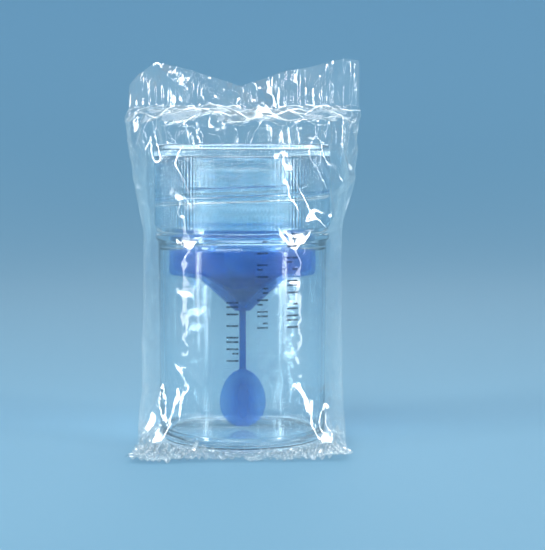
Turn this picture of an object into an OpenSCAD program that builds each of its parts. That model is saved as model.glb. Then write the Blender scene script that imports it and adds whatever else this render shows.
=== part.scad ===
// Specimen container with a screw cap and a hanging spoon, sealed in a clear film pouch.
// It stands upright, and the origin is on the container's axis, under the pouch's base.

/* [Container] */
// Outer diameter of the body under the flange
body_d = 38; // [34:0.5:42]
// How much narrower the body is at its foot, across the diameter
body_draft = 0.6; // [0.2:0.1:1.2]
// Height from the foot to the top of the flange
body_h = 46.4; // [38:0.2:56]
// Wall of the body
body_wall = 1.0; // [0.8:0.05:1.4]
// Thickness of the body's floor
floor_t = 1.0; // [0.8:0.1:1.6]
// Height of the foot ring under the floor
foot_h = 0.5; // [0.3:0.1:1]
// Width of the foot ring
foot_w = 1.8; // [1.2:0.1:2.4]
// Rounding of the body's bottom edge
foot_round = 1.2; // [0.6:0.1:1.6]
// How far the flange stands out from the body
flange_out = 0.6; // [0.3:0.1:1]
// Thickness of the flange
flange_t = 1.2; // [0.8:0.1:2]

/* [Neck and thread] */
// How far the neck stands in from the body's side
neck_in = 1.35; // [1:0.05:2.5]
// Wall of the neck
neck_wall = 0.95; // [0.8:0.05:1.2]
// Height of the neck above the flange
neck_h = 17; // [14:0.5:22]
// Rise of the thread in one turn
thread_lead = 4; // [3:0.25:5]
// Turns of thread on the neck, and on the cap
thread_turns = 1; // [0.75:0.05:1.25]
// How far the neck's thread stands out
thread_h = 0.75; // [0.6:0.05:1]
// Width of a thread at its root
thread_root_w = 1.5; // [1.2:0.1:1.6]
// Width of a thread at its crest
thread_crest_w = 0.7; // [0.5:0.1:0.9]
// Height of the neck's thread start above the flange
thread_start = 7; // [6:0.5:8]

/* [Screw cap] */
// Wall of the cap's skirt
cap_wall = 0.9; // [0.8:0.05:1.4]
// Thickness of the cap's top plate
cap_plate_t = 1.2; // [0.8:0.1:2]
// Depth of the recess inside the cap's top rim
cap_recess = 1.4; // [0.6:0.1:2.5]
// Width of the cap's top rim
cap_rim_w = 1.2; // [0.9:0.1:2]
// Bevel round the cap's top edge
cap_bevel = 0.6; // [0.2:0.1:0.8]
// Number of grip ribs round the skirt
rib_count = 144; // [96:12:180]
// How far the grip ribs stand out
rib_h = 0.3; // [0.2:0.05:0.5]
// Plain band of skirt above and below the ribs
rib_margin = 1.3; // [0.8:0.1:2.5]
// Wall of the inner sleeve that seals the bore and carries the spoon
sleeve_wall = 0.8; // [0.7:0.05:1]

/* [Spoon] */
// Thickness of the plug's rim
plug_rim_t = 1.3; // [1:0.1:2]
// Height of the plug's side wall under its rim
plug_wall_h = 6.1; // [4:0.1:9]
// Wall of the plug
plug_wall = 0.9; // [0.8:0.1:1.4]
// Drop of the plug's shallow cone, from its side wall to its hub
plug_slope = 1.4; // [1:0.1:3]
// Radius of the hub where the shallow cone meets it
hub_r = 9.6; // [7:0.2:11]
// Height of the hub's steep cone
hub_h = 7.4; // [5:0.2:9]
// Radius of the solid core in the middle of the plug
core_r = 4.2; // [3:0.1:5]
// Number of webs between the core and the plug's wall
web_count = 4; // [3:1:6]
// Thickness of a web
web_t = 1.0; // [0.8:0.1:1.4]
// How far the webs stop under the plug's rim
web_drop = 2; // [1:0.5:4]
// Height of the spigot that snaps into the sleeve
spigot_h = 4; // [3:0.2:5]
// Wall of the spigot
spigot_wall = 1.0; // [0.8:0.1:1.4]
// How far the snap bead stands out of the spigot
bead_h = 0.3; // [0.2:0.05:0.4]
// Width of the stem, seen from the front
stem_w = 1.5; // [1.2:0.1:2.5]
// Depth of the stem, from front to back
stem_t = 2.0; // [1.4:0.1:3]
// Width of the bowl
bowl_w = 10.4; // [8:0.2:14]
// Length of the bowl
bowl_l = 13.4; // [10:0.2:18]
// Depth of the bowl's hollow
bowl_depth = 2.2; // [1.2:0.1:3]
// Wall of the bowl
bowl_wall = 1.0; // [0.8:0.1:1.4]
// Gap between the bowl's tip and the container's floor
tip_gap = 0.45; // [0.3:0.05:1.5]

/* [Pouch] */
// Thickness of the film as modelled
film = 0.25; // [0.2:0.05:0.4]
// Width of the pouch at the top crimp
crimp_w = 52; // [50:0.5:62]
// How far the pouch's sides stand off the cap and container, at left and right
side_slack = 2.4; // [1.5:0.2:5]
// Height of the top crimp's sealed band at its right end
crimp_h = 10.2; // [9:0.2:14]
// Height of the film's gable, from the shoulder to the top crimp
gable_h = 4; // [3.5:0.25:7]
// How far the top crimp bends to the front and back along its width
crimp_bend = 5.4; // [2:0.2:7]
// How far the bottom crimp reaches forward of the tube
tail_l = 10; // [8:0.5:14]
// Width of the fin seal folded flat on the back
seam_w = 8.5; // [6:0.5:10]

/* [Fits] */
// Gap between pieces that only pass each other
clear = 0.3; // [0.25:0.05:0.35]
// Radial gap between the threads and what faces them
thread_gap = 0.2; // [0.15:0.05:0.25]
// Gap of a turning or sliding fit
run = 0.1; // [0.05:0.05:0.15]

/* [Hidden] */
eps = 0.01;
$fn = 96;

// Heights of the container, from the underside of the pouch.
foot_z = film + clear;
floor_z = foot_z + foot_h + floor_t;
flange_z = foot_z + body_h;
lip_z = flange_z + neck_h;

// Radii of the container, from the bore out to the flange.
body_r = body_d / 2;
flange_r = body_r + flange_out;
neck_r = body_r - neck_in;
bore_r = neck_r - neck_wall;
thread_r = neck_r + thread_h;

// The cap fits over the neck's thread and the sleeve fits in the bore.
skirt_in_r = thread_r + thread_gap;
skirt_r = skirt_in_r + cap_wall;
cap_r = skirt_r + rib_h;
cap_thread_r = neck_r + thread_gap;
sleeve_r = bore_r - thread_gap;
sleeve_in_r = sleeve_r - sleeve_wall;
skirt_z = flange_z + clear + run;
plate_z = lip_z + clear;
recess_z = plate_z + cap_plate_t;
cap_top_z = recess_z + cap_recess;
sleeve_z = flange_z - flange_t + clear;
rise = thread_lead * thread_turns;

// The plug hangs under the sleeve, and its spigot snaps into the sleeve by a bead.
rim_z = sleeve_z - run;
wall_z = rim_z - plug_rim_t - plug_wall_h;
hub_z = wall_z - plug_slope;
cone_z = hub_z - hub_h;
spigot_r = sleeve_in_r - run;
bead_z = rim_z + spigot_h * 0.6;
spigot_bevel = 0.3;
plug_bevel = 0.5;
cone_wall = plug_wall * 1.2;
tip_z = floor_z + tip_gap;
bowl_z = tip_z + bowl_l / 2;
stem_sink = 3;

// The pouch clears the cap at its highest, over the whole turn.
shoulder_z = cap_top_z + rise + clear + film;
crimp_z = shoulder_z + gable_h;
pouch_d = cap_r + clear + film;
crimp_t = 2 * film;
tube_points = 44;
flat_z = 2 * crimp_t;

// Each row is a height and the tube's half width there.
half_width = [
    [0, pouch_d + side_slack + 0.6],
    [foot_z + 0.25 * body_h, pouch_d + side_slack],
    [flange_z, pouch_d + side_slack - 0.4],
    [lip_z - 4, pouch_d + side_slack + 2],
    [shoulder_z, crimp_w / 2 - 0.3],
    [crimp_z, crimp_w / 2]
];

// Each row is a height and the tube's half depth there, down to the two plies of the crimp.
half_depth = [
    [0, pouch_d - 0.8],
    [flat_z, pouch_d - 0.8],
    [flat_z + 1.2, pouch_d],
    [shoulder_z, pouch_d],
    [shoulder_z + 0.25 * gable_h, 0.87 * pouch_d],
    [shoulder_z + 0.55 * gable_h, 0.55 * pouch_d],
    [shoulder_z + 0.80 * gable_h, 0.22 * pouch_d],
    [crimp_z, crimp_t / 2]
];

// How square the front of the tube is: 2 is an ellipse, and more is squarer.
front_square = [[0, 4.5], [flat_z, 4.5], [12, 3], [26, 2], [crimp_z, 2]];

// How much of the crimp's bend the tube has at each height.
bend_share = [[0, 0], [shoulder_z, 0], [shoulder_z + 0.5 * gable_h, 0.35], [crimp_z, 1]];

// Heights of the tube's rings.
tube_levels = [
    film, flat_z, flat_z + 0.6, flat_z + 1.2, 6, 12, 19, 26, 36, flange_z, lip_z - 4, shoulder_z,
    shoulder_z + 0.25 * gable_h, shoulder_z + 0.55 * gable_h, shoulder_z + 0.80 * gable_h, crimp_z
];

// The crimp's top edge: a share of its half width, and a share of its height.
crimp_edge = [[-1, 0.5], [-0.74, 0.95], [-0.34, 0.68], [-0.02, 0.47], [0.32, 0.77], [0.6, 0.86],
              [0.88, 1], [1, 0.97]];

function signed_power(v, p) = sign(v) * pow(abs(v), p);

// How far the crimp leans forward or back at x, one S and a half across its width.
function bend(x) = crimp_bend * sin(540 * x / crimp_w + 40);

// One point of the tube's outline at height z, moved in by inset.
function tube_point(z, turn, inset) =
    let (
        square = sin(turn) < 0 ? lookup(z, front_square) : 2,
        x = (lookup(z, half_width) - inset) * signed_power(cos(turn), 2 / square),
        y = (lookup(z, half_depth) - inset) * signed_power(sin(turn), 2 / square)
    ) [x, y + lookup(z, bend_share) * bend(x)];

function tube_outline(z, inset = 0) =
    [for (i = [0:tube_points - 1]) tube_point(z, 360 * i / tube_points, inset)];

// Joins rings of equal, even length into one closed solid; the first ring is the lowest.
module loft(rings) {
    n = len(rings[0]);
    last = len(rings) - 1;
    points = [for (ring = rings) each ring];
    sides = [
        for (j = [0:last - 1], i = [0:n - 1])
            let (a = j * n + i, b = j * n + (i + 1) % n)
                each [[a, a + n, b], [b, a + n, b + n]]
    ];
    // Each end is closed by strips across the ring, which stay inside it however it bends.
    strips = [for (k = [0:n / 2 - 2]) [k, k + 1, n - 2 - k, n - 1 - k]];
    low_end = strips;
    high_end = [for (s = strips) [for (i = [3:-1:0]) last * n + s[i]]];
    polyhedron(points, concat(sides, low_end, high_end), convexity = 4);
}

// One ridge of thread from radius root_r to crest_r, tapered at both ends.
module thread_ridge(root_r, crest_r, start_z) {
    steps = round(40 * thread_turns);
    taper = 4;
    outward = crest_r > root_r;
    rings = [
        for (i = [0:steps])
            let (
                turn = 360 * thread_turns * i / steps,
                z = start_z + rise * i / steps,
                size = min(1, (i + 0.6) / taper, (steps - i + 0.6) / taper),
                r = root_r + (crest_r - root_r) * size,
                section = [
                    [root_r, z - thread_root_w / 2], [r, z - thread_crest_w / 2],
                    [r, z + thread_crest_w / 2], [root_r, z + thread_root_w / 2]
                ],
                order = outward ? [3, 2, 1, 0] : [0, 1, 2, 3]
            )
                [for (k = order) [section[k][0] * cos(turn), section[k][0] * sin(turn), section[k][1]]]
    ];
    loft(rings);
}

module ring(outer_r, inner_r, z, h) {
    translate([0, 0, z]) difference() {
        cylinder(r = outer_r, h = h);
        translate([0, 0, -1]) cylinder(r = inner_r, h = h + 2);
    }
}

module container() {
    foot_r = body_r - body_draft / 2;
    recess_r = foot_r - foot_w;
    lip_round = neck_wall / 3;
    wall = [
        [0, foot_z + foot_h], [recess_r - foot_h, foot_z + foot_h], [recess_r, foot_z],
        [foot_r - foot_round, foot_z],
        each [for (t = [-60:30:0]) [foot_r - foot_round + foot_round * cos(t),
                                    foot_z + foot_round + foot_round * sin(t)]],
        [body_r, flange_z - flange_t - flange_out], [flange_r, flange_z - flange_t],
        [flange_r, flange_z], [neck_r, flange_z],
        [neck_r, lip_z - lip_round], [neck_r - lip_round, lip_z],
        [bore_r + lip_round, lip_z], [bore_r, lip_z - lip_round],
        [bore_r, flange_z - flange_t], [body_r - body_wall, flange_z - flange_t - 2],
        [foot_r - body_wall, floor_z + foot_round], [foot_r - body_wall - foot_round, floor_z],
        [0, floor_z]
    ];
    color([0.86, 0.93, 0.97, 0.45]) union() {
        rotate_extrude() polygon(wall);
        thread_ridge(neck_r - 0.2, thread_r, flange_z + thread_start);
    }
}

// A toothed ring sunk in the skirt, whose teeth stand out of it as the grip ribs.
module grip_ribs() {
    sunk = rib_h / 3;
    outline = [
        for (i = [0:2 * rib_count - 1])
            let (r = i % 2 == 0 ? cap_r : skirt_r - sunk)
                [r * cos(180 * i / rib_count), r * sin(180 * i / rib_count)]
    ];
    low_z = skirt_z + rib_margin;
    translate([0, 0, low_z]) difference() {
        linear_extrude(cap_top_z - rib_margin - low_z) polygon(outline);
        translate([0, 0, -1]) cylinder(r = skirt_r - 3 * sunk, h = cap_top_z);
    }
}

module screw_cap() {
    rim_in_r = skirt_r - cap_rim_w;
    groove_r = spigot_r + bead_h + run;
    body = [
        [0, recess_z], [rim_in_r, recess_z], [rim_in_r, cap_top_z], [skirt_r - cap_bevel, cap_top_z],
        [skirt_r, cap_top_z - cap_bevel], [skirt_r, skirt_z], [skirt_in_r, skirt_z],
        [skirt_in_r, plate_z], [sleeve_r, plate_z], [sleeve_r, sleeve_z],
        [sleeve_in_r, sleeve_z],
        [sleeve_in_r, bead_z - bead_h - 2 * run], [groove_r, bead_z - 2 * run],
        [groove_r, bead_z + 2 * run], [sleeve_in_r, bead_z + bead_h + 2 * run],
        [sleeve_in_r, plate_z], [0, plate_z]
    ];
    color([0.82, 0.91, 0.97, 0.45]) union() {
        rotate_extrude() polygon(body);
        grip_ribs();
        thread_ridge(skirt_in_r + 0.2, cap_thread_r, flange_z + thread_start - thread_lead / 2);
    }
}

// The plug: a spigot, a rim, a side wall, a shallow cone and a steep hub, all one turned shell.
module plug_shell() {
    shell = [
        [spigot_r - spigot_wall, rim_z + spigot_h], [spigot_r - spigot_bevel, rim_z + spigot_h],
        [spigot_r, rim_z + spigot_h - 2 * spigot_bevel], [spigot_r, bead_z + bead_h],
        [spigot_r + bead_h, bead_z], [spigot_r, bead_z - bead_h], [spigot_r, rim_z],
        [sleeve_r, rim_z], [sleeve_r, wall_z], [sleeve_r - plug_bevel, wall_z - plug_bevel],
        [hub_r, hub_z], [stem_t * 0.9, cone_z], [0, cone_z],
        [0, cone_z + 2 * cone_wall], [hub_r - cone_wall, hub_z + cone_wall / 2],
        [sleeve_r - plug_wall - plug_bevel, wall_z + plug_wall / 2],
        [sleeve_r - plug_wall, wall_z + plug_wall],
        [sleeve_r - plug_wall, rim_z - plug_rim_t], [spigot_r - spigot_wall, rim_z - plug_rim_t]
    ];
    rotate_extrude() polygon(shell);
}

// The core and the webs fill the shell's hollow, and sink half a wall into the shell.
module plug_webs() {
    side_r = sleeve_r - plug_wall / 2;
    web_top = rim_z - plug_rim_t - web_drop;
    space = [
        [0, cone_z + cone_wall], [hub_r - cone_wall / 2, hub_z + cone_wall / 4],
        [side_r, wall_z + plug_wall / 2], [side_r, web_top], [core_r, web_top], [core_r, rim_z],
        [0, rim_z]
    ];
    intersection() {
        rotate_extrude() polygon(space);
        union() {
            translate([0, 0, cone_z]) cylinder(r = core_r, h = rim_z + 1 - cone_z);
            for (i = [0:web_count - 1]) rotate(45 + 360 * i / web_count)
                translate([0, -web_t / 2, cone_z]) cube([sleeve_r, web_t, rim_z - cone_z]);
        }
    }
}

module bowl() {
    // The egg-shaped outline is wider towards the tip; its hollow is part of a sphere.
    outline = [
        for (t = [0:12:348])
            [bowl_w / 2 * cos(t) * (1 - 0.16 * sin(t)), bowl_l / 2 * sin(t)]
    ];
    half = bowl_l / 2 + 0.3;
    hollow_r = (half * half + bowl_depth * bowl_depth) / (2 * bowl_depth);
    translate([0, 0, bowl_z]) intersection() {
        translate([0, stem_t, 0]) rotate([90, 0, 0])
            linear_extrude(2 * stem_t + bowl_depth + bowl_wall, center = true) polygon(outline);
        translate([0, bowl_depth - hollow_r - stem_t / 2, 0]) difference() {
            sphere(r = hollow_r + bowl_wall);
            sphere(r = hollow_r);
        }
    }
}

module spoon() {
    stem_low = bowl_z + bowl_l / 2 - stem_sink;
    color([0.03, 0.25, 0.80, 0.85]) union() {
        plug_shell();
        plug_webs();
        translate([-stem_w / 2, -stem_t / 2, stem_low])
            cube([stem_w, stem_t, cone_z + cone_wall / 2 - stem_low]);
        bowl();
    }
}

module film_tube() {
    outer = [for (z = tube_levels) [for (p = tube_outline(z)) [p[0], p[1], z]]];
    // The inner face follows the outer one a film's thickness in, and a film lower under the gable.
    inner = [
        for (z = tube_levels)
            let (drop = z < shoulder_z - eps ? (z < flat_z - eps ? 1 : 0) : film)
                if (z < crimp_z - eps)
                    [for (p = tube_outline(z, film)) [p[0], p[1], z - drop]]
    ];
    color([0.85, 0.95, 1, 0.25]) difference() {
        loft(outer);
        loft(inner);
    }
}

module film_base() {
    color([0.85, 0.95, 1, 0.25]) linear_extrude(film) polygon(tube_outline(0));
}

module top_crimp() {
    steps = 26;
    half = crimp_w / 2;
    line = [for (i = [0:steps]) let (x = half * (2 * i / steps - 1)) [x, bend(x)]];
    plan = concat(
        [for (p = line) p - [0, crimp_t / 2]],
        [for (i = [steps:-1:0]) line[i] + [0, crimp_t / 2]]
    );
    face = concat(
        [[-half - 1, -1]],
        [for (p = crimp_edge) [p[0] * (half + (abs(p[0]) == 1 ? 1 : 0)), p[1] * crimp_h]],
        [[half + 1, -1]]
    );
    color([0.9, 0.97, 1, 0.4]) translate([0, 0, crimp_z]) intersection() {
        linear_extrude(crimp_h) polygon(plan);
        rotate([90, 0, 0]) linear_extrude(4 * crimp_bend + 4, center = true) polygon(face);
    }
}

module bottom_crimp() {
    half = lookup(0, half_width);
    front = lookup(0, half_depth) + tail_l;
    outline = [
        [-half + 2, -half / 2], [-half - 0.4, -front + 1.6], [-0.74 * half, -front - 1],
        [-0.25 * half, -front + 1.2], [0.25 * half, -front + 0.6], [half, -front + 3], [half - 2, -half / 2]
    ];
    color([0.9, 0.97, 1, 0.4]) linear_extrude(crimp_t) difference() {
        polygon(outline);
        polygon(tube_outline(0));
    }
}

module back_seam() {
    // The fin's two plies lie on the back of the tube, between two of the outline's points.
    first = round(tube_points * 0.155);
    span = round(tube_points * seam_w / (2 * PI * pouch_d));
    low = flat_z + 1.2;
    levels = [for (z = tube_levels) if (z > low - eps && z < shoulder_z + eps) z];
    rings = [
        for (z = levels)
            let (
                inside = [for (i = [first:first + span]) tube_point(z, 360 * i / tube_points, 0)],
                outside = [for (i = [first + span:-1:first]) tube_point(z, 360 * i / tube_points, -crimp_t)]
            )
                [for (p = concat(outside, inside)) [p[0], p[1], z]]
    ];
    color([0.9, 0.97, 1, 0.4]) loft(rings);
}

container();
screw_cap();
spoon();
film_tube();
film_base();
top_crimp();
bottom_crimp();
back_seam();
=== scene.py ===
# %% [markdown]
# # A specimen container in its sealed film pouch
#
# The object is a clear screw-cap container with a blue spoon inside, sealed in a crinkled film
# pouch. Nearly all of it is transparent, so its look comes from edges, folds and highlights. The
# container, the cap and the spoon are exact turned shapes. The pouch is thin film, which only
# looks right if its folds come from real slack, so it is relaxed by a small cloth solver written
# with numpy.

import bpy
import numpy as np
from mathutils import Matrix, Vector


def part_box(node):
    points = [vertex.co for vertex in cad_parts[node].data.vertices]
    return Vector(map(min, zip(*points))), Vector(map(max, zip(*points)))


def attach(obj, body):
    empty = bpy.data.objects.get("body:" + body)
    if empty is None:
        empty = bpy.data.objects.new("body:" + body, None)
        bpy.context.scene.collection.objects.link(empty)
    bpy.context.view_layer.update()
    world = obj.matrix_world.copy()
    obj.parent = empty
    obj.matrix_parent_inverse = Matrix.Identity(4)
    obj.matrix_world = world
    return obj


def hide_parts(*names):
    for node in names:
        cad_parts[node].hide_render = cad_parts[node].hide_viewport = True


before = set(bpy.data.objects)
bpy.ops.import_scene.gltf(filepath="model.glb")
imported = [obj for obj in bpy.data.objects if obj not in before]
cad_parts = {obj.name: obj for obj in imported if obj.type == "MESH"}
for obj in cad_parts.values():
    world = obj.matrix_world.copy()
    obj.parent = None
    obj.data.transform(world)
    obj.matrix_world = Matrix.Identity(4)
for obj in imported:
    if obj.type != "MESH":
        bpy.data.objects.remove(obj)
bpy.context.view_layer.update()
MM = 0.001
print("CAD nodes:", sorted(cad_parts))

# %% [markdown]
# ## The sizes that the pieces share
#
# Each piece is worked out in millimetres, with the container's axis on Z and the floor at zero.
# The heights and radii below repeat the part's own, so every new surface lies where the frame
# says.

# %% Sizes in millimetres
FOOT_Z, FLOOR_Z, FLANGE_Z, LIP_Z = 0.55, 2.05, 46.95, 63.95
BODY_R, FOOT_R, FLANGE_R, NECK_R, BORE_R = 19.0, 18.7, 19.6, 17.65, 16.7
SKIRT_Z, PLATE_Z, RECESS_Z, CAP_TOP_Z = 47.35, 64.25, 65.45, 66.85
SKIRT_R, SKIRT_IN_R, SLEEVE_R, SLEEVE_IN_R, SLEEVE_Z = 19.5, 18.6, 16.5, 15.7, 46.05
THREAD_LEAD, THREAD_H, RIBS, RIB_H = 4.0, 0.75, 144, 0.3
RIM_Z, WALL_Z, HUB_Z, CONE_Z, BEAD_Z, SPIGOT_TOP = 45.95, 38.55, 37.15, 29.75, 48.35, 49.95
SPIGOT_R, BOWL_Z, BOWL_W, BOWL_L = 15.6, 9.2, 10.4, 13.4
SHOULDER_Z, CRIMP_Z, CRIMP_W, CRIMP_H, CRIMP_BEND = 71.4, 75.4, 52.0, 10.2, 5.4

low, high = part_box("screw_cap")
print("cap in the frame, mm:", [round(1000 * v, 2) for v in (*low, *high)])

# %% [markdown]
# ## Mesh helpers
#
# Every new surface is a grid of points, with rows along a profile and columns across or around it.
# Four neighbouring points make a face. A turned shape also gets one point on its axis at each end,
# so that it is closed and glass can work out what is inside.

# %% Grid faces, turned shapes and pieces
def grid_faces(rows, cols, joined):
    """Quads between neighbouring grid points; the last column meets the first if joined."""
    j, i = np.meshgrid(np.arange(rows - 1), np.arange(cols if joined else cols - 1), indexing="ij")
    a, b = j * cols + i, j * cols + (i + 1) % cols
    return np.stack([a, b, b + cols, a + cols], axis=-1).reshape(-1, 4)


def closed_grid(points):
    """A grid (rows, columns, 3) joined around, with its first and last rows closed by a fan."""
    rows, cols = points.shape[:2]
    ends = points[[0, -1]].mean(axis=1)
    i = np.arange(cols)
    first, last = rows * cols, rows * cols + 1
    start = np.column_stack([np.full(cols, first), (i + 1) % cols, i])
    row = (rows - 1) * cols
    finish = np.column_stack([np.full(cols, last), row + i, row + (i + 1) % cols])
    faces = grid_faces(rows, cols, True).tolist() + start.tolist() + finish.tolist()
    return np.vstack([points.reshape(-1, 3), ends]), faces


def open_grid(points, joined=False, flipped=False):
    """A grid (rows, columns, 3) as the points and faces of a shape with no ends."""
    faces = grid_faces(*points.shape[:2], joined)
    return points.reshape(-1, 3), (faces[:, ::-1] if flipped else faces).tolist()


def piece(name, shapes, body, slot, material, *nodes):
    """One object from (points, faces) shapes in mm, riding on a body in place of the CAD nodes."""
    counts = np.cumsum([0] + [len(p) for p, _ in shapes])
    faces = [[v + start for v in face] for start, (_, fs) in zip(counts, shapes) for face in fs]
    mesh = bpy.data.meshes.new(name)
    mesh.from_pydata(np.vstack([p for p, _ in shapes]) * MM, [], faces)
    mesh.shade_smooth()
    mesh.materials.append(material)
    made = bpy.data.objects.new(name, mesh)
    bpy.context.scene.collection.objects.link(made)
    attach(made, body)
    if nodes:
        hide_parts(*nodes)
    print(f"{name}: {len(mesh.vertices)} points, {len(mesh.polygons)} faces, on {body}")
    return made


# %% Profiles with rounded corners
def rounded(corners, radius, steps=3):
    """Each corner becomes a parabola between two points beside it, radius away or less."""
    p = np.array(corners, float)
    before, after = p[:-2] - p[1:-1], p[2:] - p[1:-1]
    reach = [np.minimum(radius, 0.45 * np.hypot(*side.T))[:, None] for side in (before, after)]
    a = p[1:-1] + before / np.hypot(*before.T)[:, None] * reach[0]
    c = p[1:-1] + after / np.hypot(*after.T)[:, None] * reach[1]
    t = np.linspace(0, 1, steps + 1)[None, :, None]
    curve = (1 - t) ** 2 * a[:, None] + 2 * t * (1 - t) * p[1:-1, None] + t**2 * c[:, None]
    return np.vstack([p[:1], curve.reshape(-1, 2), p[-1:]])


def refined(line, low, high, step, inner=0.0):
    """Adds points to a profile between two heights, outside a radius, no more than step apart."""
    s = np.concatenate([[0], np.cumsum(np.hypot(*np.diff(line, axis=0).T))])
    more = np.arange(0, s[-1], step)
    radius, height = np.interp(more, s, line[:, 0]), np.interp(more, s, line[:, 1])
    wanted = (height > low) & (height < high) & (radius > inner)
    s_all = np.unique(np.concatenate([s, more[wanted]]))
    return np.column_stack([np.interp(s_all, s, line[:, k]) for k in (0, 1)])


def turned(line, columns, offset=None):
    """The profile's radius and height carried round the axis; offset varies the radius by turn."""
    turn = np.arange(columns) / columns * 2 * np.pi
    radius, height = line[:, :1] + 0 * turn, line[:, 1:] + 0 * turn
    if offset is not None:
        radius = radius + offset(radius, height, turn)
    ring = np.stack([radius * np.cos(turn), radius * np.sin(turn), height], axis=-1)
    return closed_grid(ring)


def ridge(height, turn, start_z, root=1.5, crest=0.7):
    """A thread of one turn: full within half a crest of its helix, and nothing past half a root.

    The helix climbs one lead a turn. The ridge fades in and out over its first and last tenth.
    """
    off = np.abs(height - start_z - THREAD_LEAD * turn / (2 * np.pi))
    section = np.clip((root / 2 - off) / ((root - crest) / 2), 0, 1)
    tenth = 0.63  # of a turn, in radians
    fade = np.clip(turn / tenth, 0, 1) * np.clip((2 * np.pi - turn) / tenth, 0, 1)
    section = section * section * (3 - 2 * section)
    return section * np.sqrt(fade)


# %% [markdown]
# ## Finishes
#
# Clear moulded plastic is real glass in the render, because only bending light gives its walls
# their bright and dark edges. Glass would also cast the shadow of a solid, so lamp rays pass it as
# if it were a lightly tinted window. The film is too thin to bend light. It is a see-through
# surface with a mirror on it that grows at grazing angles, much as Schlick's rule says, and with
# a little haze.

# %% Node helpers
def new_finish(name):
    material = bpy.data.materials.new(name)
    material.use_nodes = True
    material.node_tree.nodes.clear()
    return material, material.node_tree


def add(tree, kind, inputs=None, **settings):
    """Adds a node, sets its options, and fills its inputs with numbers or links."""
    made = tree.nodes.new(kind)
    for key, value in settings.items():
        setattr(made, key, value)
    for key, value in (inputs or {}).items():
        if isinstance(value, bpy.types.NodeSocket):
            tree.links.new(value, made.inputs[key])
        else:
            made.inputs[key].default_value = value
    return made


def mathed(tree, operation, a, b):
    return add(tree, "ShaderNodeMath", {0: a, 1: b}, operation=operation).outputs[0]


def noise(tree, scale, detail=2.0, stretch=(1, 1, 1), roughness=0.5):
    """Noise on object coordinates; scale is in repeats per metre."""
    where = add(tree, "ShaderNodeTexCoord").outputs["Object"]
    laid = add(tree, "ShaderNodeMapping", {"Vector": where, "Scale": stretch}).outputs[0]
    made = add(tree, "ShaderNodeTexNoise",
               {"Vector": laid, "Scale": scale, "Detail": detail, "Roughness": roughness})
    return made.outputs["Factor" if "Factor" in made.outputs else "Fac"]


def ramp(tree, value, low, high, to_low, to_high):
    """A value carried from one range to another, in a straight line and held at the ends."""
    return add(tree, "ShaderNodeMapRange", {"Value": value, "From Min": low, "From Max": high,
                                            "To Min": to_low, "To Max": to_high}).outputs[0]


def shade_mix(tree, share, first, second):
    """A share, from 0 to 1, of the second shader over the first."""
    return add(tree, "ShaderNodeMixShader",
               {0: share, 1: first.outputs[0], 2: second.outputs[0]})


def colour_mix(tree, share, first, second):
    """A colour that goes from the first to the second as the share goes from 0 to 1."""
    return add(tree, "ShaderNodeMix", {0: share, 6: (*first, 1), 7: (*second, 1)},
               data_type="RGBA").outputs[2]


def finish_with(tree, shader):
    out = add(tree, "ShaderNodeOutputMaterial")
    tree.links.new(shader.outputs[0], out.inputs["Surface"])


# %% Clear moulded plastic
def clear_plastic(name, tint, shade, flow):
    """Glass with faint flow waves and a turned mould's fine rings; lamps see a tinted window."""
    material, tree = new_finish(name)
    wave = noise(tree, flow, 2, (1, 1, 0.25))
    rings = noise(tree, 2400, 2, (0.02, 0.02, 1))
    height = mathed(tree, "ADD", wave, mathed(tree, "MULTIPLY", rings, 0.34))
    bump = add(tree, "ShaderNodeBump", {"Height": height, "Strength": 0.3, "Distance": 0.00012})
    rough = ramp(tree, noise(tree, 180, 3), 0.35, 0.7, 0.015, 0.06)
    glass = add(tree, "ShaderNodeBsdfGlass", {"Color": (*tint, 1), "IOR": 1.49, "Roughness": rough,
                                              "Normal": bump.outputs[0]})
    window = add(tree, "ShaderNodeBsdfTransparent", {"Color": (*shade, 1)})
    lamp_ray = add(tree, "ShaderNodeLightPath").outputs["Is Shadow Ray"]
    finish_with(tree, shade_mix(tree, lamp_ray, glass, window))
    return material


clear_body = clear_plastic("clear_body", (0.965, 0.99, 1.0), (0.93, 0.96, 0.98), 90)
clear_cap = clear_plastic("clear_cap", (0.95, 0.985, 1.0), (0.90, 0.95, 0.97), 140)
print("clear finishes:", clear_body.name, clear_cap.name)

# %% [markdown]
# The spoon is dyed plastic that lets some light through, and looks deeper blue where it is
# thicker. Each wall that a ray crosses takes out more red and green. The piece's own dye
# attribute, which is set where the mesh is made, says how thick it is there: most in the core and
# the stem. A volume would do the same, but is slow to render and is lost in an export.

# %% Blue spoon plastic
blue_spoon, tree = new_finish("blue_spoon")
swirl = noise(tree, 260, 3, (1, 1, 0.35))
depth = add(tree, "ShaderNodeAttribute", attribute_name="dye").outputs["Fac"]
paler = mathed(tree, "MULTIPLY", swirl, ramp(tree, depth, 0, 1, 2.0, 0.1))
dye = colour_mix(tree, paler, (0.0, 0.048, 0.21), (0.0, 0.115, 0.43))
moulded = add(tree, "ShaderNodeBump", {"Height": noise(tree, 1400, 2), "Strength": 0.12,
                                       "Distance": 0.0001})
body_blue = add(tree, "ShaderNodeBsdfPrincipled",
                {"Base Color": dye, "Roughness": 0.28, "IOR": 1.5, "Normal": moulded.outputs[0]})
passed = colour_mix(tree, depth, (0.78, 0.91, 0.985), (0.01, 0.26, 0.82))
through = add(tree, "ShaderNodeBsdfTransparent", {"Color": passed})
cloudy = ramp(tree, depth, 0, 1, 0.04, 0.74)
share = mathed(tree, "ADD", cloudy, ramp(tree, swirl, 0.3, 0.7, -0.03, 0.03))
finish_with(tree, shade_mix(tree, share, through, body_blue))
print("spoon finish:", len(tree.nodes), "nodes")

# %% [markdown]
# The film's finish is used twice: once for the plain film, and once for the crimps and seams,
# which are two plies and so mirror and cloud more. Creases too fine for the mesh are bump, from
# noise and from the edges of a cell pattern, and both sizes are in repeats per metre.

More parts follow.
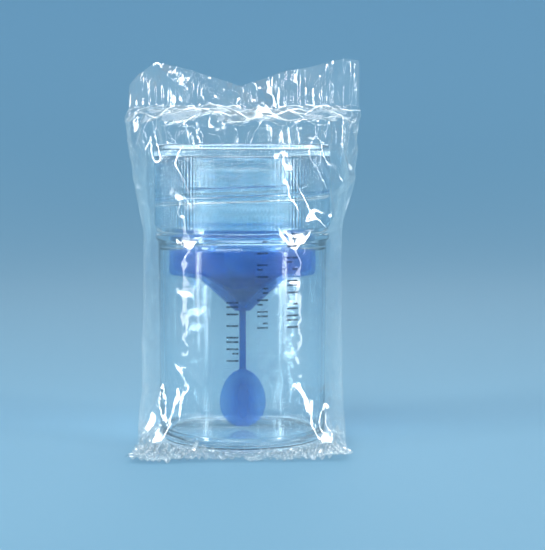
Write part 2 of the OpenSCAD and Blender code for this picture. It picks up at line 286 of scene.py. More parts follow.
# %% Film
def film_finish(name, mirror, haze, crease, crease_size):
    """Mirror share = base + (1 - base) * (1 - cos)^4, over clear film with a little haze.

    The piece's own crinkle attribute, from 0 to 1, says where fine creases and haze are strongest.
    Seen edge on, light goes a longer way through the film, so it looks cloudier there.
    """
    material, tree = new_finish(name)
    crinkle = add(tree, "ShaderNodeAttribute", attribute_name="crinkle").outputs["Fac"]
    fine = noise(tree, crease_size, 3, (1, 1, 0.6), 0.55)
    cells = add(tree, "ShaderNodeTexVoronoi",
                {"Vector": add(tree, "ShaderNodeTexCoord").outputs["Object"],
                 "Scale": crease_size * 0.55, "Randomness": 1.0},
                feature="DISTANCE_TO_EDGE").outputs["Distance"]
    folds = mathed(tree, "ADD", fine, mathed(tree, "MULTIPLY", cells, 1.2))
    strength = ramp(tree, crinkle, 0, 1, 0.05, crease)
    bump = add(tree, "ShaderNodeBump", {"Height": folds, "Strength": strength, "Distance": 0.0005})
    facing = add(tree, "ShaderNodeLayerWeight", {"Blend": 0.5, "Normal": bump.outputs[0]})
    grazing = mathed(tree, "POWER", facing.outputs["Facing"], 4.0)
    share = mathed(tree, "ADD", mathed(tree, "MULTIPLY", grazing, 1 - mirror), mirror)
    veil = ramp(tree, noise(tree, 120, 3), 0.35, 0.75, 0.5 * haze, 1.3 * haze)
    veil = mathed(tree, "ADD", veil, mathed(tree, "MULTIPLY", crinkle, 0.5 * haze))
    veil = mathed(tree, "ADD", veil, mathed(tree, "MULTIPLY", grazing, 0.4))
    clear = add(tree, "ShaderNodeBsdfTransparent", {"Color": (0.965, 0.985, 0.99, 1)})
    cloudy = add(tree, "ShaderNodeBsdfDiffuse", {"Color": (0.78, 0.88, 0.88, 1),
                                                 "Normal": bump.outputs[0]})
    shiny = add(tree, "ShaderNodeBsdfGlossy", {"Color": (1, 1, 1, 1), "Roughness": 0.08,
                                               "Normal": bump.outputs[0]})
    finish_with(tree, shade_mix(tree, share, shade_mix(tree, veil, clear, cloudy), shiny))
    return material


film = film_finish("film", 0.085, 0.03, 0.6, 420)
crimped_film = film_finish("crimped_film", 0.17, 0.09, 0.42, 520)
print("film finishes:", film.name, crimped_film.name)

# %% Ink
film_ink, tree = new_finish("film_ink")
worn = ramp(tree, noise(tree, 1500, 3), 0.35, 0.6, 0.4, 0.85)
ink = add(tree, "ShaderNodeBsdfPrincipled",
          {"Base Color": (0.01, 0.03, 0.06, 1), "Roughness": 0.5})
bare = add(tree, "ShaderNodeBsdfTransparent", {"Color": (1, 1, 1, 1)})
finish_with(tree, shade_mix(tree, worn, bare, ink))

# %% [markdown]
# ## Container
#
# The container is one moulding: a body that narrows a little to its foot, a foot ring, a flange
# and a threaded neck. It is turned from one closed profile, out along the underside, up the
# outside and down the inside. The thread is a change of radius that climbs as it goes round.

# %% Container
body_line = rounded([
    [0.05, FOOT_Z + 0.5], [16.4, FOOT_Z + 0.5], [16.9, FOOT_Z], [FOOT_R - 1.0, FOOT_Z],
    [FOOT_R - 0.15, FOOT_Z + 0.5], [FOOT_R, FOOT_Z + 1.6], [BODY_R, FLANGE_Z - 1.8],
    [FLANGE_R, FLANGE_Z - 1.2], [FLANGE_R, FLANGE_Z], [NECK_R, FLANGE_Z], [NECK_R, LIP_Z],
    [BORE_R, LIP_Z], [BORE_R, FLANGE_Z - 1.2], [BODY_R - 1, FLANGE_Z - 3.2],
    [FOOT_R - 1, FLOOR_Z + 1.2], [FOOT_R - 2.2, FLOOR_Z], [0.05, FLOOR_Z]], 0.35, 4)
body_line = refined(body_line, 52.4, 59.6, 0.2)


def neck_thread(radius, height, turn):
    return np.isclose(radius, NECK_R) * THREAD_H * ridge(height, turn, FLANGE_Z + 7)


container = piece("container_moulding", [turned(body_line, 256, neck_thread)], "container",
                  "clear_body", clear_body, "container")

# %% [markdown]
# ## Screw cap
#
# The cap's skirt has fine grip ribs, its top a raised rim round a recessed plate, and inside it
# a sleeve that seals the bore and holds the spoon. The ribs are a cosine round the skirt that
# fades out near the skirt's edges, with four columns of points to a rib.

# %% Screw cap
sleeve_line = [
    [SLEEVE_IN_R, PLATE_Z], [SLEEVE_IN_R, BEAD_Z + 0.5], [SLEEVE_IN_R + 0.3, BEAD_Z],
    [SLEEVE_IN_R, BEAD_Z - 0.5], [SLEEVE_IN_R, SLEEVE_Z], [SLEEVE_R, SLEEVE_Z],
    [SLEEVE_R, PLATE_Z]]
skirt_line = [
    [SKIRT_IN_R, PLATE_Z], [SKIRT_IN_R, SKIRT_Z], [SKIRT_R, SKIRT_Z], [SKIRT_R, CAP_TOP_Z],
    [SKIRT_R - 1.2, CAP_TOP_Z], [SKIRT_R - 1.2, RECESS_Z]]
cap_line = rounded([[0.05, PLATE_Z], *sleeve_line, *skirt_line, [0.05, RECESS_Z]], 0.4, 3)
# The skirt gets more rows at the thread, and where the ribs fade out below and above.
for low, high, step in [(50.6, 57.4, 0.24), (48.3, 49.1, 0.15), (65.1, 65.9, 0.15)]:
    cap_line = refined(cap_line, low, high, step, SLEEVE_R + 0.4)
print("cap profile:", len(cap_line), "points")


def cap_detail(radius, height, turn):
    """Grip ribs outside, and the thread pointing in."""
    edge = np.clip((height - 48.4) / 0.4, 0, 1) * np.clip((65.8 - height) / 0.4, 0, 1)
    ribs = np.isclose(radius, SKIRT_R) * RIB_H * edge * (0.5 + 0.5 * np.cos(RIBS * turn))
    inside = np.isclose(radius, SKIRT_IN_R) * THREAD_H * ridge(height, turn, FLANGE_Z + 5)
    return ribs - inside


cap = piece("cap_moulding", [turned(cap_line, 4 * RIBS, cap_detail)], "cap", "clear_cap",
            clear_cap, "screw_cap")

# %% [markdown]
# ## Spoon
#
# The spoon's head is a turned shell with a solid core, joined by four webs. Its stem and bowl are
# one surface: a closed section carried down the axis, a small rectangle with soft corners that
# spreads into a thin curved plate. The plate's outline is an egg, and its hollow is part of a
# sphere.

# %% Spoon head
shell_line = rounded([
    [0.05, CONE_Z], [1.8, CONE_Z], [9.6, HUB_Z], [SLEEVE_R - 0.5, WALL_Z - 0.5],
    [SLEEVE_R, WALL_Z], [SLEEVE_R, RIM_Z], [SPIGOT_R, RIM_Z], [SPIGOT_R, BEAD_Z - 0.3],
    [SPIGOT_R + 0.3, BEAD_Z], [SPIGOT_R, BEAD_Z + 0.3], [SPIGOT_R, SPIGOT_TOP - 0.6],
    [SPIGOT_R - 0.3, SPIGOT_TOP], [SPIGOT_R - 1, SPIGOT_TOP], [SPIGOT_R - 1, RIM_Z - 1.3],
    [SLEEVE_R - 0.9, RIM_Z - 1.3], [SLEEVE_R - 0.9, WALL_Z + 0.9],
    [SLEEVE_R - 1.4, WALL_Z + 0.45], [9.6 - 1.08, HUB_Z + 0.54], [0.05, CONE_Z + 2.16]], 0.3, 3)
core_line = rounded([[0.05, CONE_Z + 2.0], [1.2, CONE_Z + 2.0], [4.2, CONE_Z + 5.2],
                     [4.2, RIM_Z], [0.05, RIM_Z]], 0.4, 4)


def web(angle):
    """A slab from the core to the shell: its section is a superellipse, as thick as the web."""
    reach = np.linspace(3.6, SLEEVE_R - 0.5, 16)[:, None]
    t = np.arange(28) / 28 * 2 * np.pi
    low_z = np.interp(reach, [3.6, 8.8, SLEEVE_R - 0.5], [CONE_Z + 4.6, HUB_Z + 0.4, WALL_Z + 0.4])
    high_z = RIM_Z - 3.3
    side = 0.5 * np.sign(np.cos(t)) * np.abs(np.cos(t)) ** 0.4
    up = np.sign(np.sin(t)) * np.abs(np.sin(t)) ** 0.4
    z = (low_z + high_z) / 2 + up * (high_z - low_z) / 2
    x = reach * np.cos(angle) - side * np.sin(angle)
    y = reach * np.sin(angle) + side * np.cos(angle)
    return closed_grid(np.stack([x + 0 * z, y + 0 * z, z], axis=-1))


# %% Spoon stem and bowl
def stem_and_bowl():
    """Rows go from the bowl's tip up the stem; columns go round each section.

    The bowl's half width at height h is w/2 * cos(a) * (1 - 0.16 sin a), where h = l/2 * sin(a).
    Its middle surface is as deep as a sphere through its rim, and each section's thickness swells
    from a thin lip to the wall by a rounded power of the sine.
    """
    a = np.linspace(-np.pi / 2, np.pi / 2 * 0.93, 90)
    stem_top = np.linspace(BOWL_Z + BOWL_L / 2 + 0.4, CONE_Z + 0.6, 40)
    z = np.concatenate([BOWL_Z + BOWL_L / 2 * np.sin(a), stem_top])[:, None]
    egg = np.concatenate([BOWL_W / 2 * np.cos(a) * (1 - 0.16 * np.sin(a)), 0 * stem_top])[:, None]
    half = np.sqrt(egg**2 + 0.75**2 * np.clip((z - 9) / 5, 0, 1)) + 0.02
    stem = np.clip((z - 12.0) / 6.0, 0, 1)
    stem = stem * stem * (3 - 2 * stem)
    t = np.arange(48) / 48 * 2 * np.pi
    power = 0.55
    x = half * np.sign(np.cos(t)) * np.abs(np.cos(t)) ** power
    swell = np.sign(np.sin(t)) * np.abs(np.sin(t)) ** power
    ball = (7.0**2 + 2.2**2) / (2 * 2.2)
    off = np.minimum(x**2 + (z - BOWL_Z) ** 2, 7.0**2)
    hollow = np.sqrt(ball**2 - off) - ball + 1.2 + 0.5
    thick = 0.5 + 0.5 * stem
    y = (1 - stem) * hollow + thick * swell
    return closed_grid(np.stack([x, y, z + 0 * x], axis=-1))


webs = [web(np.radians(45 + 90 * k)) for k in range(4)]
shapes = [turned(shell_line, 192), turned(core_line, 64), stem_and_bowl(), *webs]
spoon = piece("spoon_moulding", shapes, "spoon", "blue_spoon", blue_spoon, "spoon")


def bowl_dye(points):
    """Deep along the middle and the stem, and thin towards the bowl's lip, by a bell across it."""
    height = np.clip((points[:, 2] - 13.5) / 3.5, 0, 1)
    lip = (points[:, 0] / 3.8) ** 2 + ((points[:, 2] - BOWL_Z + 0.8) / 7.0) ** 4
    return 0.2 + 0.7 * np.maximum(height, np.exp(-2.6 * lip))


def head_dye(points):
    """Deep round the axis, by a bell across the head, and none in the thin spigot over the rim."""
    reach = np.hypot(points[:, 0], points[:, 1])
    return np.where(points[:, 2] > RIM_Z + 0.2, 0.0, 0.26 + 0.5 * np.exp(-((reach / 7.5) ** 2)))


dye = np.concatenate([head_dye(shapes[0][0]), np.full(len(shapes[1][0]), 0.95),
                      bowl_dye(shapes[2][0]), *[head_dye(w[0]) for w in webs]])
layer = spoon.data.attributes.new("dye", "FLOAT", "POINT")
layer.data.foreach_set("value", dye.astype(np.float32))

# %% [markdown]
# ## Film pouch
#
# The pouch is one tube of film. Where it has to turn corners, over the cap and round the bottom
# corners, there is more film than room, and the spare film buckles into sharp creases. A drawn
# texture can't give that, so the tube starts from the smooth shape that the frame has, is told
# that its edges are longer than they are, and is relaxed until they fit. First a coarse net finds
# the large folds, and then a fine net sharpens them.

# %% The smooth tube
rng = np.random.default_rng(11)  # the one source of chance in the tube, so it folds the same way


def signed_power(v, p):
    return np.sign(v) * np.abs(v) ** p


def crimp_line(x):
    """How far the top crimp bends to the front and back: one and a half waves across it."""
    return CRIMP_BEND * np.sin(np.radians(540 * x / CRIMP_W + 40))


def smooth_tube(around, up):
    """An ellipse at each height whose half width and depth follow tables, squarer at the foot.

    up runs from 0 at the floor to 1 at the crimp. A quarter of it climbs the gable, where the
    depth falls to nothing and the middle line takes on the crimp's bend.
    """
    turn = np.arange(around) / around * 2 * np.pi
    z = np.interp(up, [0, 0.76, 0.82, 0.88, 0.94, 1],
                  [0.12, SHOULDER_Z, 72.4, 73.6, 74.6, CRIMP_Z])[:, None]
    wide = np.interp(z, [0, 12.1, FLANGE_Z, 59.95, SHOULDER_Z, CRIMP_Z],
                     [23.35, 22.75, 22.35, 24.75, 25.7, 26])
    deep = np.interp(z, [0, 1, 2.2, SHOULDER_Z, 72.4, 73.6, 74.6, CRIMP_Z],
                     [19.6, 19.7, 20.4, 20.5, 17.7, 11.2, 4.8, 0.06])
    square = np.where(np.sin(turn) < 0, np.interp(z, [0, 1, 6, 15], [4.5, 4.5, 3, 2]), 2)
    x = wide * signed_power(np.cos(turn), 2 / square)
    y = deep * signed_power(np.sin(turn), 2 / square)
    share = np.interp(z, [0, SHOULDER_Z, 73.4, CRIMP_Z], [0, 0, 0.35, 1])
    return np.stack([x, y + share * crimp_line(x), z + 0 * x], axis=-1)


# %% [markdown]
# Slack is the share by which the film is longer than the smooth shape. It is greatest over the
# cap's shoulder, at the upper right, where the tube was packed slack, and in the bottom corners.

# %% Slack
MM_A_DEGREE = 0.355  # the length round the tube that one degree takes up


def bump_at(turn_deg, z, at, height, wide, tall):
    """A bell round one place on the tube, wide degrees by tall millimetres."""
    off = (turn_deg - at + 180) % 360 - 180
    return np.exp(-((off / wide) ** 2) - ((z - height) / tall) ** 2)


def slack_field(around, z):
    """How much longer than smooth the film is: 0.002 on the sides, up to about 0.14 in folds.

    Each row is a bell: its place in degrees and mm, its width and height, and its most.
    """
    deg = (np.arange(around) / around * 360)[None, :]
    z = z[:, :1]
    field = 0.002 + 0.055 * np.clip((z - 62) / 8, 0, 1) + 0 * deg
    for at, height, wide, tall, most in [
            (318, 68, 26, 8, 0.10), (342, 60, 16, 9, 0.07), (12, 70, 24, 7, 0.07),
            (235, 70, 24, 5, 0.055), (190, 72, 20, 6, 0.05), (270, 71, 20, 4, 0.045),
            (214, 5, 14, 5, 0.06), (200, 12, 10, 7, 0.05), (322, 4, 12, 4, 0.05),
            (90, 4, 60, 4, 0.04), (90, 71, 60, 5, 0.05),
            (300, 52, 7, 7, 0.03), (328, 47, 8, 5, 0.035)]:
        field = field + most * bump_at(deg, z, at, height, wide, tall)
    return field


def crease_push(around, z):
    """Long folds that the film was packed with: lines across the tube, pushed out or in.

    Each row is a line between two places in degrees and mm, with its push and its half width in
    mm. Its profile is a bell across the line, and the root of a half sine along it.
    """
    deg = (np.arange(around) / around * 360)[None, :] + 0 * z[:, :1]
    z = z[:, :1] + 0 * deg
    push = 0 * deg
    for at_a, z_a, at_b, z_b, most, wide in [
            (305, 66, 330, 47, 1.1, 1.6), (297, 61, 312, 52, -0.8, 1.6),
            (312, 53, 333, 42, 0.9, 1.4), (318, 71, 336, 58, 1.0, 1.5),
            (236, 64, 250, 52, 0.45, 1.2), (203, 54, 201, 12, 0.6, 1.4),
            (341, 46, 343, 8, 0.6, 1.4), (192, 28, 206, 8, 0.7, 1.2),
            (150, 66, 160, 40, 0.7, 1.6), (60, 60, 75, 30, 0.5, 1.6),
            (222, 20, 214, 4, 0.5, 0.9), (331, 17, 318, 4, 0.45, 0.9),
            (108, 40, 115, 8, 0.5, 1.6), (25, 62, 32, 30, 0.6, 1.6)]:
        ax, bx = at_a * MM_A_DEGREE, at_b * MM_A_DEGREE
        dx, dz = bx - ax, z_b - z_a
        share = np.clip(((deg * MM_A_DEGREE - ax) * dx + (z - z_a) * dz) / (dx**2 + dz**2), 0, 1)
        off = np.hypot(deg * MM_A_DEGREE - ax - share * dx, z - z_a - share * dz)
        along = np.sin(np.pi * np.clip(share, 0.04, 0.96)) ** 0.5
        push = push + most * along * np.exp(-((off / wide) ** 2))
    return push


# %% [markdown]
# The solver treats the film as a net of points joined by edges. Each step moves every point by its
# last speed, and then goes over the edges several times, pulling each to its length. Edges that
# share no point are moved together as whole arrays. Weak edges across two cells resist bending.
# Blender's own Cloth could fold the film too, but it can't promise the room that the cap needs to
# rise in, and here every step puts the points back outside that room.

# %% The solver
BODY_CLEAR_R, CAP_CLEAR_R, CAP_FROM_Z, RISEN_TOP_Z = 19.45, 20.2, 45.0, 70.3
EDGE_R = 1.0  # how round the top edge of the space is that the cap sweeps
LOWEST = 0.1


def pull_pairs(p, a, b, rest, weight, strength):
    """Moves the two ends of each edge together or apart, half each, towards its rest length."""
    gap = p[b] - p[a]
    length = np.sqrt((gap**2).sum(-1, keepdims=True)) + 1e-9
    move = strength * (length - rest) / length * gap
    wa, wb = weight[a], weight[b]
    total = wa + wb + 1e-9
    p[a] += move * wa / total
    p[b] -= move * wb / total


def edge_sets(rows, cols):
    """Pairs of grid points in sets that share no point, so that each set moves all at once."""
    ids = np.arange(rows * cols).reshape(rows, cols)
    sets = []
    for down, right in [(0, 1), (1, 0), (1, 1), (1, -1), (0, 2), (2, 0)]:
        shifted = np.roll(ids, -right, axis=1)
        a, b = ids[: rows - down], shifted[down:]
        step = max(down, abs(right)) if down == 0 or right == 0 else 1
        along_cols = down == 0
        index = (np.arange(cols) if along_cols else np.arange(rows - down)) // step % 2
        for odd in (0, 1):
            keep = index == odd
            pair = (a[:, keep], b[:, keep]) if along_cols else (a[keep], b[keep])
            sets.append((pair[0].ravel(), pair[1].ravel(), max(down, abs(right)) == 2))
    return sets


def keep_clear(p):
    """Pushes points out of the space that the container and risen cap sweep, and off the floor.

    The swept space is a cylinder with a rounded top edge. Outside it, the distance is that from
    the nearest point of its side or top.
    """
    radius = np.hypot(p[:, 0], p[:, 1]) + 1e-9
    wall = np.where(p[:, 2] < CAP_FROM_Z, BODY_CLEAR_R, CAP_CLEAR_R) - EDGE_R
    side, top = radius - wall, p[:, 2] - RISEN_TOP_Z
    outer = np.hypot(np.maximum(side, 0), np.maximum(top, 0))
    inside = np.minimum(np.maximum(side, top), 0)
    lacking = np.maximum(EDGE_R - (outer + inside), 0)
    by_side = np.where(outer > 1e-6, np.maximum(side, 0) / (outer + 1e-9), side > top)
    by_top = np.where(outer > 1e-6, np.maximum(top, 0) / (outer + 1e-9), side <= top)
    p[:, :2] *= (1 + lacking * by_side / radius)[:, None]
    p[:, 2] += lacking * by_top
    p[:, 2] = np.maximum(p[:, 2], LOWEST)


def relax(grid, goal, slack, steps, sweeps, hold, bend):
    """Position-based cloth: move by the last step's speed, then fit the edges over and over."""
    rows, cols = grid.shape[:2]
    p, target = grid.reshape(-1, 3).copy(), goal.reshape(-1, 3)
    longer = 1 + slack.reshape(-1)
    weight = np.ones((rows, cols, 1))
    weight[0] = weight[-1] = 0
    weight = weight.reshape(-1, 1)
    sets = []
    for a, b, skips in edge_sets(rows, cols):
        rest = np.sqrt(((target[b] - target[a]) ** 2).sum(-1)) * (longer[a] + longer[b]) / 2
        sets.append((a, b, rest[:, None], bend if skips else 0.9))
    last = p.copy()
    for _ in range(steps):
        speed = 0.9 * (p - last)
        last = p.copy()
        p = p + weight * (speed + hold * (target - p))
        for _ in range(sweeps):
            for a, b, rest, strength in sets:
                pull_pairs(p, a, b, rest, weight, strength)
            keep_clear(p)
    return p.reshape(rows, cols, 3)


def waves(around, z, count, longest, size):
    """A sum of seeded waves round and along the tube, each whole round it, to start the folds."""
    turn = (np.arange(around) / around * 2 * np.pi)[None, :]
    z = z[:, :1]
    total = 0 * turn + 0 * z
    for _ in range(count):
        k, rise = rng.integers(2, longest), rng.normal() * longest / 22
        phase = rng.uniform(0, 2 * np.pi)
        total = total + np.cos(k * turn + rise * z + phase)
    return size * total / np.sqrt(count)


def outward(grid):
    """Unit vectors away from the tube's axis, level with the floor."""
    flat = grid * np.array([1, 1, 0])
    return flat / (np.linalg.norm(flat, axis=-1, keepdims=True) + 1e-6)


# %% Relax the film
COARSE, FINE = (72, 46), (192, 130)  # points round the tube, and rows up it


def shaped(around, rows):
    """The tube with its long folds, its slack, and the way out of it where it may move."""
    up = np.linspace(0, 1, rows)
    smooth = smooth_tube(around, up)
    z = smooth[..., 2]
    away = outward(smooth)
    fade = np.clip(np.minimum(up / 0.03, (1 - up) / 0.06), 0, 1)[:, None, None]
    pushed = smooth + fade * crease_push(around, z)[..., None] * away
    return pushed, slack_field(around, z), away * fade


def resampled(grid, around, rows):
    """Linear in both directions, which keeps the coarse net's creases sharp."""
    old_rows, old_around = grid.shape[:2]
    closed = np.concatenate([grid, grid[:, :1]], axis=1)
    i, j = np.arange(around) / around * old_around, np.linspace(0, old_rows - 1, rows)
    i0, j0 = i.astype(int), np.minimum(j.astype(int), old_rows - 2)
    fi, fj = (i - i0)[None, :, None], (j - j0)[:, None, None]
    top = closed[j0][:, i0] * (1 - fi) + closed[j0][:, i0 + 1] * fi
    bottom = closed[j0 + 1][:, i0] * (1 - fi) + closed[j0 + 1][:, i0 + 1] * fi
    return top * (1 - fj) + bottom * fj


goal, slack, away = shaped(*COARSE)
z = goal[..., 2]
start = goal + away * (waves(COARSE[0], z, 30, 22, 0.3) * np.minimum(14 * slack, 1.5))[..., None]
steps = 160
coarse = relax(start, goal, slack, steps, sweeps=6, hold=0.02, bend=0.10)

goal, slack, away = shaped(*FINE)
z = goal[..., 2]
start = resampled(coarse, *FINE)
start[0], start[-1] = goal[0], goal[-1]
start = start + away * (waves(FINE[0], z, 40, 60, 0.06) * np.minimum(12 * slack, 1.2))[..., None]
steps = 70
tube = relax(start, goal, slack, steps, sweeps=8, hold=0.004, bend=0.12)
print("film, mm:", tube.reshape(-1, 3).min(0).round(1), tube.reshape(-1, 3).max(0).round(1))


# %% The film piece
def set_crinkle(obj, values):
    """Stores how crinkled each point is, from 0 to 1, for the film's finish to read."""
    layer = obj.data.attributes.new("crinkle", "FLOAT", "POINT")
    layer.data.foreach_set("value", np.clip(values, 0, 1).astype(np.float32).ravel())


film_piece = piece("film_sleeve", [open_grid(tube, joined=True)], "pouch", "film", film,
                   "film_tube")
near_foot = np.clip((20 - goal[..., 2]) / 9, 0, 1)
set_crinkle(film_piece, (slack - 0.004) / 0.10 + 0.55 * near_foot)
finer = film_piece.modifiers.new("finer", "SUBSURF")
finer.levels = finer.render_levels = 1

# %% [markdown]
# ## Crimps and fin seal
#
# Heated jaws close the pouch's ends, and leave ribs across the seal about 1.6 mm apart. The top
# crimp is a band that follows the bent line of the tube's top edge. Where the ribs were pulled,
# they lean and fade, which is what breaks their highlights up. The bottom crimp lies forward on
# the floor, and the fin seal is a strip folded flat on the pouch's back.

# %% Top crimp
RIB_PITCH = 1.6


def crimp_ribs(along, pitch):
    """A rounded saw: ribs of one pitch along the band."""
    phase = along / pitch * 2 * np.pi
    return np.sin(phase) + 0.25 * np.sin(2 * phase)


def smooth_random(points, low, high, count, seed):
    """A sum of seeded sines over a line, between two shortest and longest waves in millimetres."""
    local = np.random.default_rng(seed)
    total = 0 * points
    for wave in local.uniform(low, high, count):
        total = total + np.sin(points / wave * 2 * np.pi + local.uniform(0, 2 * np.pi))
    return total / np.sqrt(count)


x = np.linspace(-CRIMP_W / 2, CRIMP_W / 2, 521)[None, :]
up = np.linspace(0, 1, 40)[:, None]
share = x / (CRIMP_W / 2)
# How high the torn edge stands across the band: two raised corners, and a dip between them.
edge = CRIMP_H * np.interp(
    share, [-1, -0.9, -0.74, -0.55, -0.34, -0.15, -0.02, 0.14, 0.32, 0.6, 0.88, 1],
    [0.5, 0.72, 0.95, 0.84, 0.68, 0.56, 0.47, 0.60, 0.77, 0.86, 1, 0.97])
z = CRIMP_Z + up * edge
lean = up * (1.5 * np.sin(share * 5.2 + 0.6) + 0.9 * smooth_random(x, 6, 15, 5, 3))
fade = np.clip(0.62 + 0.5 * smooth_random(x + 4 * up, 7, 18, 6, 5), 0.15, 1)
fade = fade * np.clip(up / 0.08, 0, 1) * np.clip((1 - up) / 0.05, 0.2, 1)
slip = x + up * 0.5 * smooth_random(x, 9, 20, 4, 8)
folds = 0.35 * smooth_random(x * 0.8 + z * 1.1, 5, 13, 6, 12) * up
folds = folds + 0.3 * smooth_random(x - z, 4, 9, 5, 14) * up
y = crimp_line(x) + lean + folds + 0.19 * fade * crimp_ribs(slip, RIB_PITCH)
top_points = np.stack([x + 0 * z, y, z], axis=-1)
top_crimp = piece("top_seal", [open_grid(top_points)], "pouch", "crimped_film", crimped_film,
                  "top_crimp")
set_crinkle(top_crimp, 0.35 + 0.3 * fade + 0.3 * smooth_random(x + z, 4, 12, 5, 6))

# %% Base and bottom crimp
def base_and_tail():
    """The film under the container, carried forward past the tube's foot into the ribbed end seal.

    Rows run from the back to the front edge, columns from left to right; the tail lifts a little
    off the floor in waves, most at its two ears.
    """
    s = np.linspace(-1, 1, 401)[None, :]
    v = np.linspace(0, 1, 90)[:, None]
    bays = np.interp(s, [-1, -0.74, -0.25, 0.25, 0.7, 1], [0.9, -0.5, 1.5, 1.0, 1.6, 2.3])
    front = -29.6 + 1.3 * bays + 0.15 * smooth_random(s * 24, 2, 7, 5, 21)
    back = 19.2
    y = back + v * (front - back)
    wide = np.interp(y, [-30, -24, -19, -12, 0, 19.2], [24.6, 23.4, 22.6, 23.0, 23.2, 6])
    wide = np.where(y > 0, 23.2 * np.sqrt(np.clip(1 - (y / 19.7) ** 2, 0.03, 1)), wide)
    x = s * wide
    tail = np.clip((-19.5 - y) / 8, 0, 1)
    ear = np.abs(s) ** 6
    swell = 0.8 * np.abs(smooth_random(x + 0.4 * y, 6, 17, 5, 23))
    z = 0.14 + tail * (0.40 + swell + (1.0 + 0.8 * s) * ear)
    z = z + tail * (0.4 * smooth_random(x * 0.7 - y, 2.5, 7, 7, 24) + 0.2)
    z = z + 0.2 * tail * smooth_random(x * 0.9 + 0.5 * y, 1.5, 4, 7, 29)
    corner = np.clip((np.hypot(x, y) - 19.6) / 2.0, 0, 1) * (1 - tail)
    crumple = 1.3 * smooth_random(x + 0.6 * y, 2.5, 7, 6, 26)
    crumple = crumple + 0.9 * smooth_random(x - y, 2, 5, 6, 27)
    z = z + corner * np.abs(crumple)
    seal = np.clip((-21.2 - y) / 1.0, 0, 1)
    ribs = 0.22 * seal * crimp_ribs(x + 0.3 * smooth_random(x, 8, 16, 4, 25), RIB_PITCH)
    z = np.maximum(z + ribs, 0.06)
    return np.stack([x, y, z], axis=-1), np.maximum(tail, corner)


base_points, tail = base_and_tail()
base = piece("base_and_bottom_seal", [open_grid(base_points, flipped=True)], "pouch",
             "crimped_film", crimped_film, "film_base", "bottom_crimp")
set_crinkle(base, 0.1 + 0.9 * tail)


# %% Fin seal
def on_tube(turn_deg, z):
    """Points on the relaxed film at an angle round it and a height, with the way out of it."""
    i = (np.asarray(turn_deg) / 360 * FINE[0]) % FINE[0]
    i0 = np.floor(i).astype(int) % FINE[0]
    i1, fi = (i0 + 1) % FINE[0], (i - np.floor(i))[..., None]
    rows = np.interp(z, goal[:, 0, 2], np.arange(FINE[1]))
    j0 = np.minimum(rows.astype(int), FINE[1] - 2)
    fj = (rows - j0)[..., None]
    below = tube[j0, i0] * (1 - fi) + tube[j0, i1] * fi
    above = tube[j0 + 1, i0] * (1 - fi) + tube[j0 + 1, i1] * fi
    point = below * (1 - fj) + above * fj
    normal = np.cross(tube[j0, i1] - tube[j0, i0], tube[j0 + 1, i0] - tube[j0, i0])
    return point, normal / (np.linalg.norm(normal, axis=-1, keepdims=True) + 1e-9)


v, s = np.linspace(0, 1, 240)[:, None], np.linspace(0, 1, 28)[None, :]
z = 2.4 + v * 68.6 + 0 * s
deg = 57 + 25 * s + 0.8 * smooth_random(v * 70, 9, 22, 5, 31) * s
fin, out = on_tube(deg + 0 * z, z)
loose = 0.5 + 0.5 * smooth_random(v * 70, 8, 20, 6, 33)
lift = 0.22 + 0.35 * s * loose + 0.06 * crimp_ribs(v * 70, 1.2)
fin = fin + out * np.maximum(lift, 0.12)[..., None]
fin_seal = piece("back_fin_seal", [open_grid(fin)], "pouch", "crimped_film", crimped_film,
                 "back_seam")
set_crinkle(fin_seal, np.full(z.shape, 0.3))

# %% [markdown]
# ## Printing
#
# The film carries printing in three columns. Here it is plain bars, alone or in pairs, which
# stand for printing and spell nothing. Each bar is a small patch laid on the relaxed film, so it
# bends with the folds under it.

# %% Ink bars
FILM_R, INK_LIFT, LINE_STEP = 21.0, 0.05, 2.5


def ink_column(turn_deg, top_z, bottom_z, tall, seed):
    """Bars across a column: each place down it holds one or two strokes, whole or half as long."""
    local = np.random.default_rng(seed)
    patches = []
    t, w = np.linspace(-0.5, 0.5, 3)[:, None], np.linspace(-0.5, 0.5, 9)[None, :]
    for z in np.arange(top_z, bottom_z, -LINE_STEP):
        for k in range(local.integers(1, 3)):
            across = tall * local.choice([1.0, 1.0, 0.5])
            shift = 0 if across == tall else local.choice([-0.25, 0.25]) * tall
            zs = z - 0.95 * k + 0.42 * t + 0 * w
            deg = turn_deg + np.degrees((shift + across * w + 0 * t) / FILM_R)
            point, normal = on_tube(deg, zs)
            patches.append(open_grid(point + INK_LIFT * normal, flipped=True))
    return patches


bars = (ink_column(299.5, 47.5, 26, 2.5, 41) + ink_column(282, 46, 27, 2.2, 42)
        + ink_column(265.5, 33, 18.5, 2.4, 43))
ink_piece = piece("ink_bars", bars, "pouch", "film_ink", film_ink)

# %% [markdown]
# ## Stage, lamps and camera
#
# Clear things are lit by what they mirror. Two tall narrow lamps, one on each side, draw the long
# streaks down the cylinder, and a large soft lamp above fills the folds at the top. Two small
# cards close by carry the streaks on down to the foot, where the wall mirrors the floor. A wide
# lamp at the back draws the rims. The stage is a pale sheet that curves up all round, so that no
# horizon shows through the film. Its colour carries painted light: darker near the middle and
# lighter out at its rising wall, to make up for the lamps lighting the middle most.

# %% Stage
stage_finish, tree = new_finish("stage_paper")
tooth = add(tree, "ShaderNodeBump",
            {"Height": noise(tree, 900, 3), "Strength": 0.03, "Distance": 0.0004})
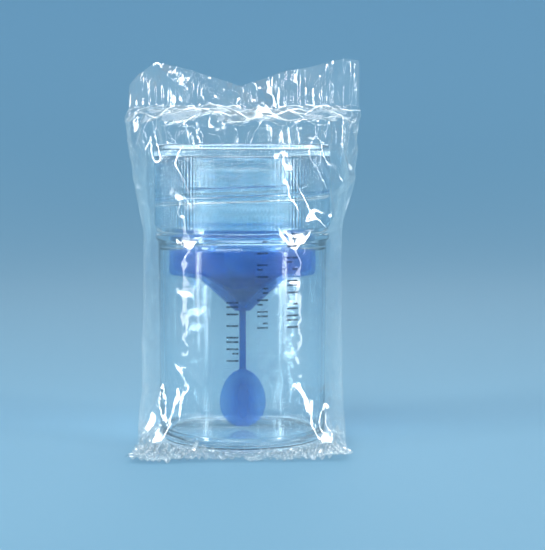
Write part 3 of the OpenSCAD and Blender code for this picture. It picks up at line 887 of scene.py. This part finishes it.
# Painted light: the paper's colour is darker near the middle and lighter out at the wall, to make
# up for the lamps lighting the middle most and the wall least.
where = add(tree, "ShaderNodeTexCoord").outputs["Object"]
length = add(tree, "ShaderNodeVectorMath", {0: where}, operation="LENGTH").outputs["Value"]
painted_falloff_share = add(tree, "ShaderNodeMapRange", {"Value": length, "From Min": 0.2, "From Max": 1.7},
          interpolation_type="SMOOTHSTEP").outputs[0]
blue = colour_mix(tree, painted_falloff_share, (0.125, 0.28, 0.40), (0.24, 0.53, 0.78))
paper = add(tree, "ShaderNodeBsdfPrincipled",
            {"Base Color": blue, "Roughness": 0.8, "Normal": tooth.outputs[0]})
finish_with(tree, paper)

# A bowl in mm: flat for 420 mm, and then rising as a power of the way out. A fan fills its middle.
rings, spokes = 28, 96
turn = np.arange(spokes) / spokes * 2 * np.pi
reach = np.linspace(60, 1600, rings)[:, None]
rise = 760 * np.clip((reach - 420) / 1180, 0, 1) ** 2.4
bowl = np.stack([reach * np.cos(turn), reach * np.sin(turn), rise + 0 * turn], axis=-1)
i = np.arange(spokes)
fan = np.column_stack([np.full(spokes, rings * spokes), i, (i + 1) % spokes])
points, faces = open_grid(bowl, joined=True, flipped=True)
stage_mesh = bpy.data.meshes.new("stage")
stage_mesh.from_pydata(np.vstack([points, [[0, 0, 0]]]) * MM, [], faces + fan.tolist())
stage_mesh.shade_smooth()
stage_mesh.materials.append(stage_finish)
stage = bpy.data.objects.new("stage", stage_mesh)
bpy.context.scene.collection.objects.link(stage)

# %% Lamps
def area_lamp(name, where, aim, size, watts, colour=(1, 1, 1)):
    """A flat lamp, width by height in metres, at a point and turned to face another."""
    lamp = bpy.data.lights.new(name, "AREA")
    lamp.shape, lamp.size, lamp.size_y = "RECTANGLE", size[0], size[1]
    lamp.energy, lamp.color = watts, colour
    made = bpy.data.objects.new(name, lamp)
    made.location = where
    direction = np.array(aim) - np.array(where)
    made.rotation_euler = Vector(direction).to_track_quat("-Z", "Y").to_euler()
    made.visible_camera = False
    bpy.context.scene.collection.objects.link(made)
    return made


area_lamp("left_strip", (-0.62, -0.34, 0.27), (0, 0, 0.04), (0.11, 0.6), 4.2, (1, 0.99, 0.96))
area_lamp("right_strip", (0.62, -0.34, 0.27), (0, 0, 0.04), (0.10, 0.6), 4.0, (1, 0.99, 0.96))
area_lamp("top_key", (-0.20, -0.45, 0.80), (0, 0, 0.05), (0.5, 0.35), 5, (1, 0.99, 0.97))
area_lamp("overhead", (0.15, 0.25, 1.0), (0, 0, 0.03), (0.8, 0.8), 4, (0.92, 0.97, 1))
for name, side in [("left_card", -1), ("right_card", 1)]:
    card = area_lamp(name, (side * 0.150, -0.086, 0.062), (0, 0, 0.055), (0.014, 0.12), 0.0045,
                     (1, 0.99, 0.97))
    card.data.spread = np.radians(70)
back = area_lamp("back_rim", (0.05, 0.95, 0.30), (0, 0, 0.02), (1.1, 0.22), 0.42,
                 (0.97, 0.99, 1))
back.visible_transmission = False
back.data.spread = np.radians(60)

world = bpy.data.worlds.new("world")
bpy.context.scene.world = world
world.use_nodes = True
sky = world.node_tree.nodes["Background"]
sky.inputs["Color"].default_value = (0.75, 0.88, 1.0, 1)
sky.inputs["Strength"].default_value = 0.34

# %% [markdown]
# The camera looks level with the cap's skirt and slightly down. Light crosses many clear walls
# here, so the bounces are raised until no wall turns black.

# %% Camera
camera = bpy.data.objects.new("camera", bpy.data.cameras.new("camera"))
camera.data.sensor_fit = "VERTICAL"
camera.data.sensor_height = 24.0
camera.data.lens = 65.0
camera.data.clip_start = 0.01
camera.location = (0.0068, -0.337, 0.0633)
camera.rotation_euler = (np.radians(90 - 4.4), 0, 0)
bpy.context.scene.collection.objects.link(camera)
bpy.context.scene.camera = camera

bpy.context.scene.view_settings.view_transform = "Standard"
cycles = bpy.context.scene.cycles
cycles.max_bounces = cycles.transmission_bounces = 24
cycles.transparent_max_bounces = 48
cycles.glossy_bounces = 8
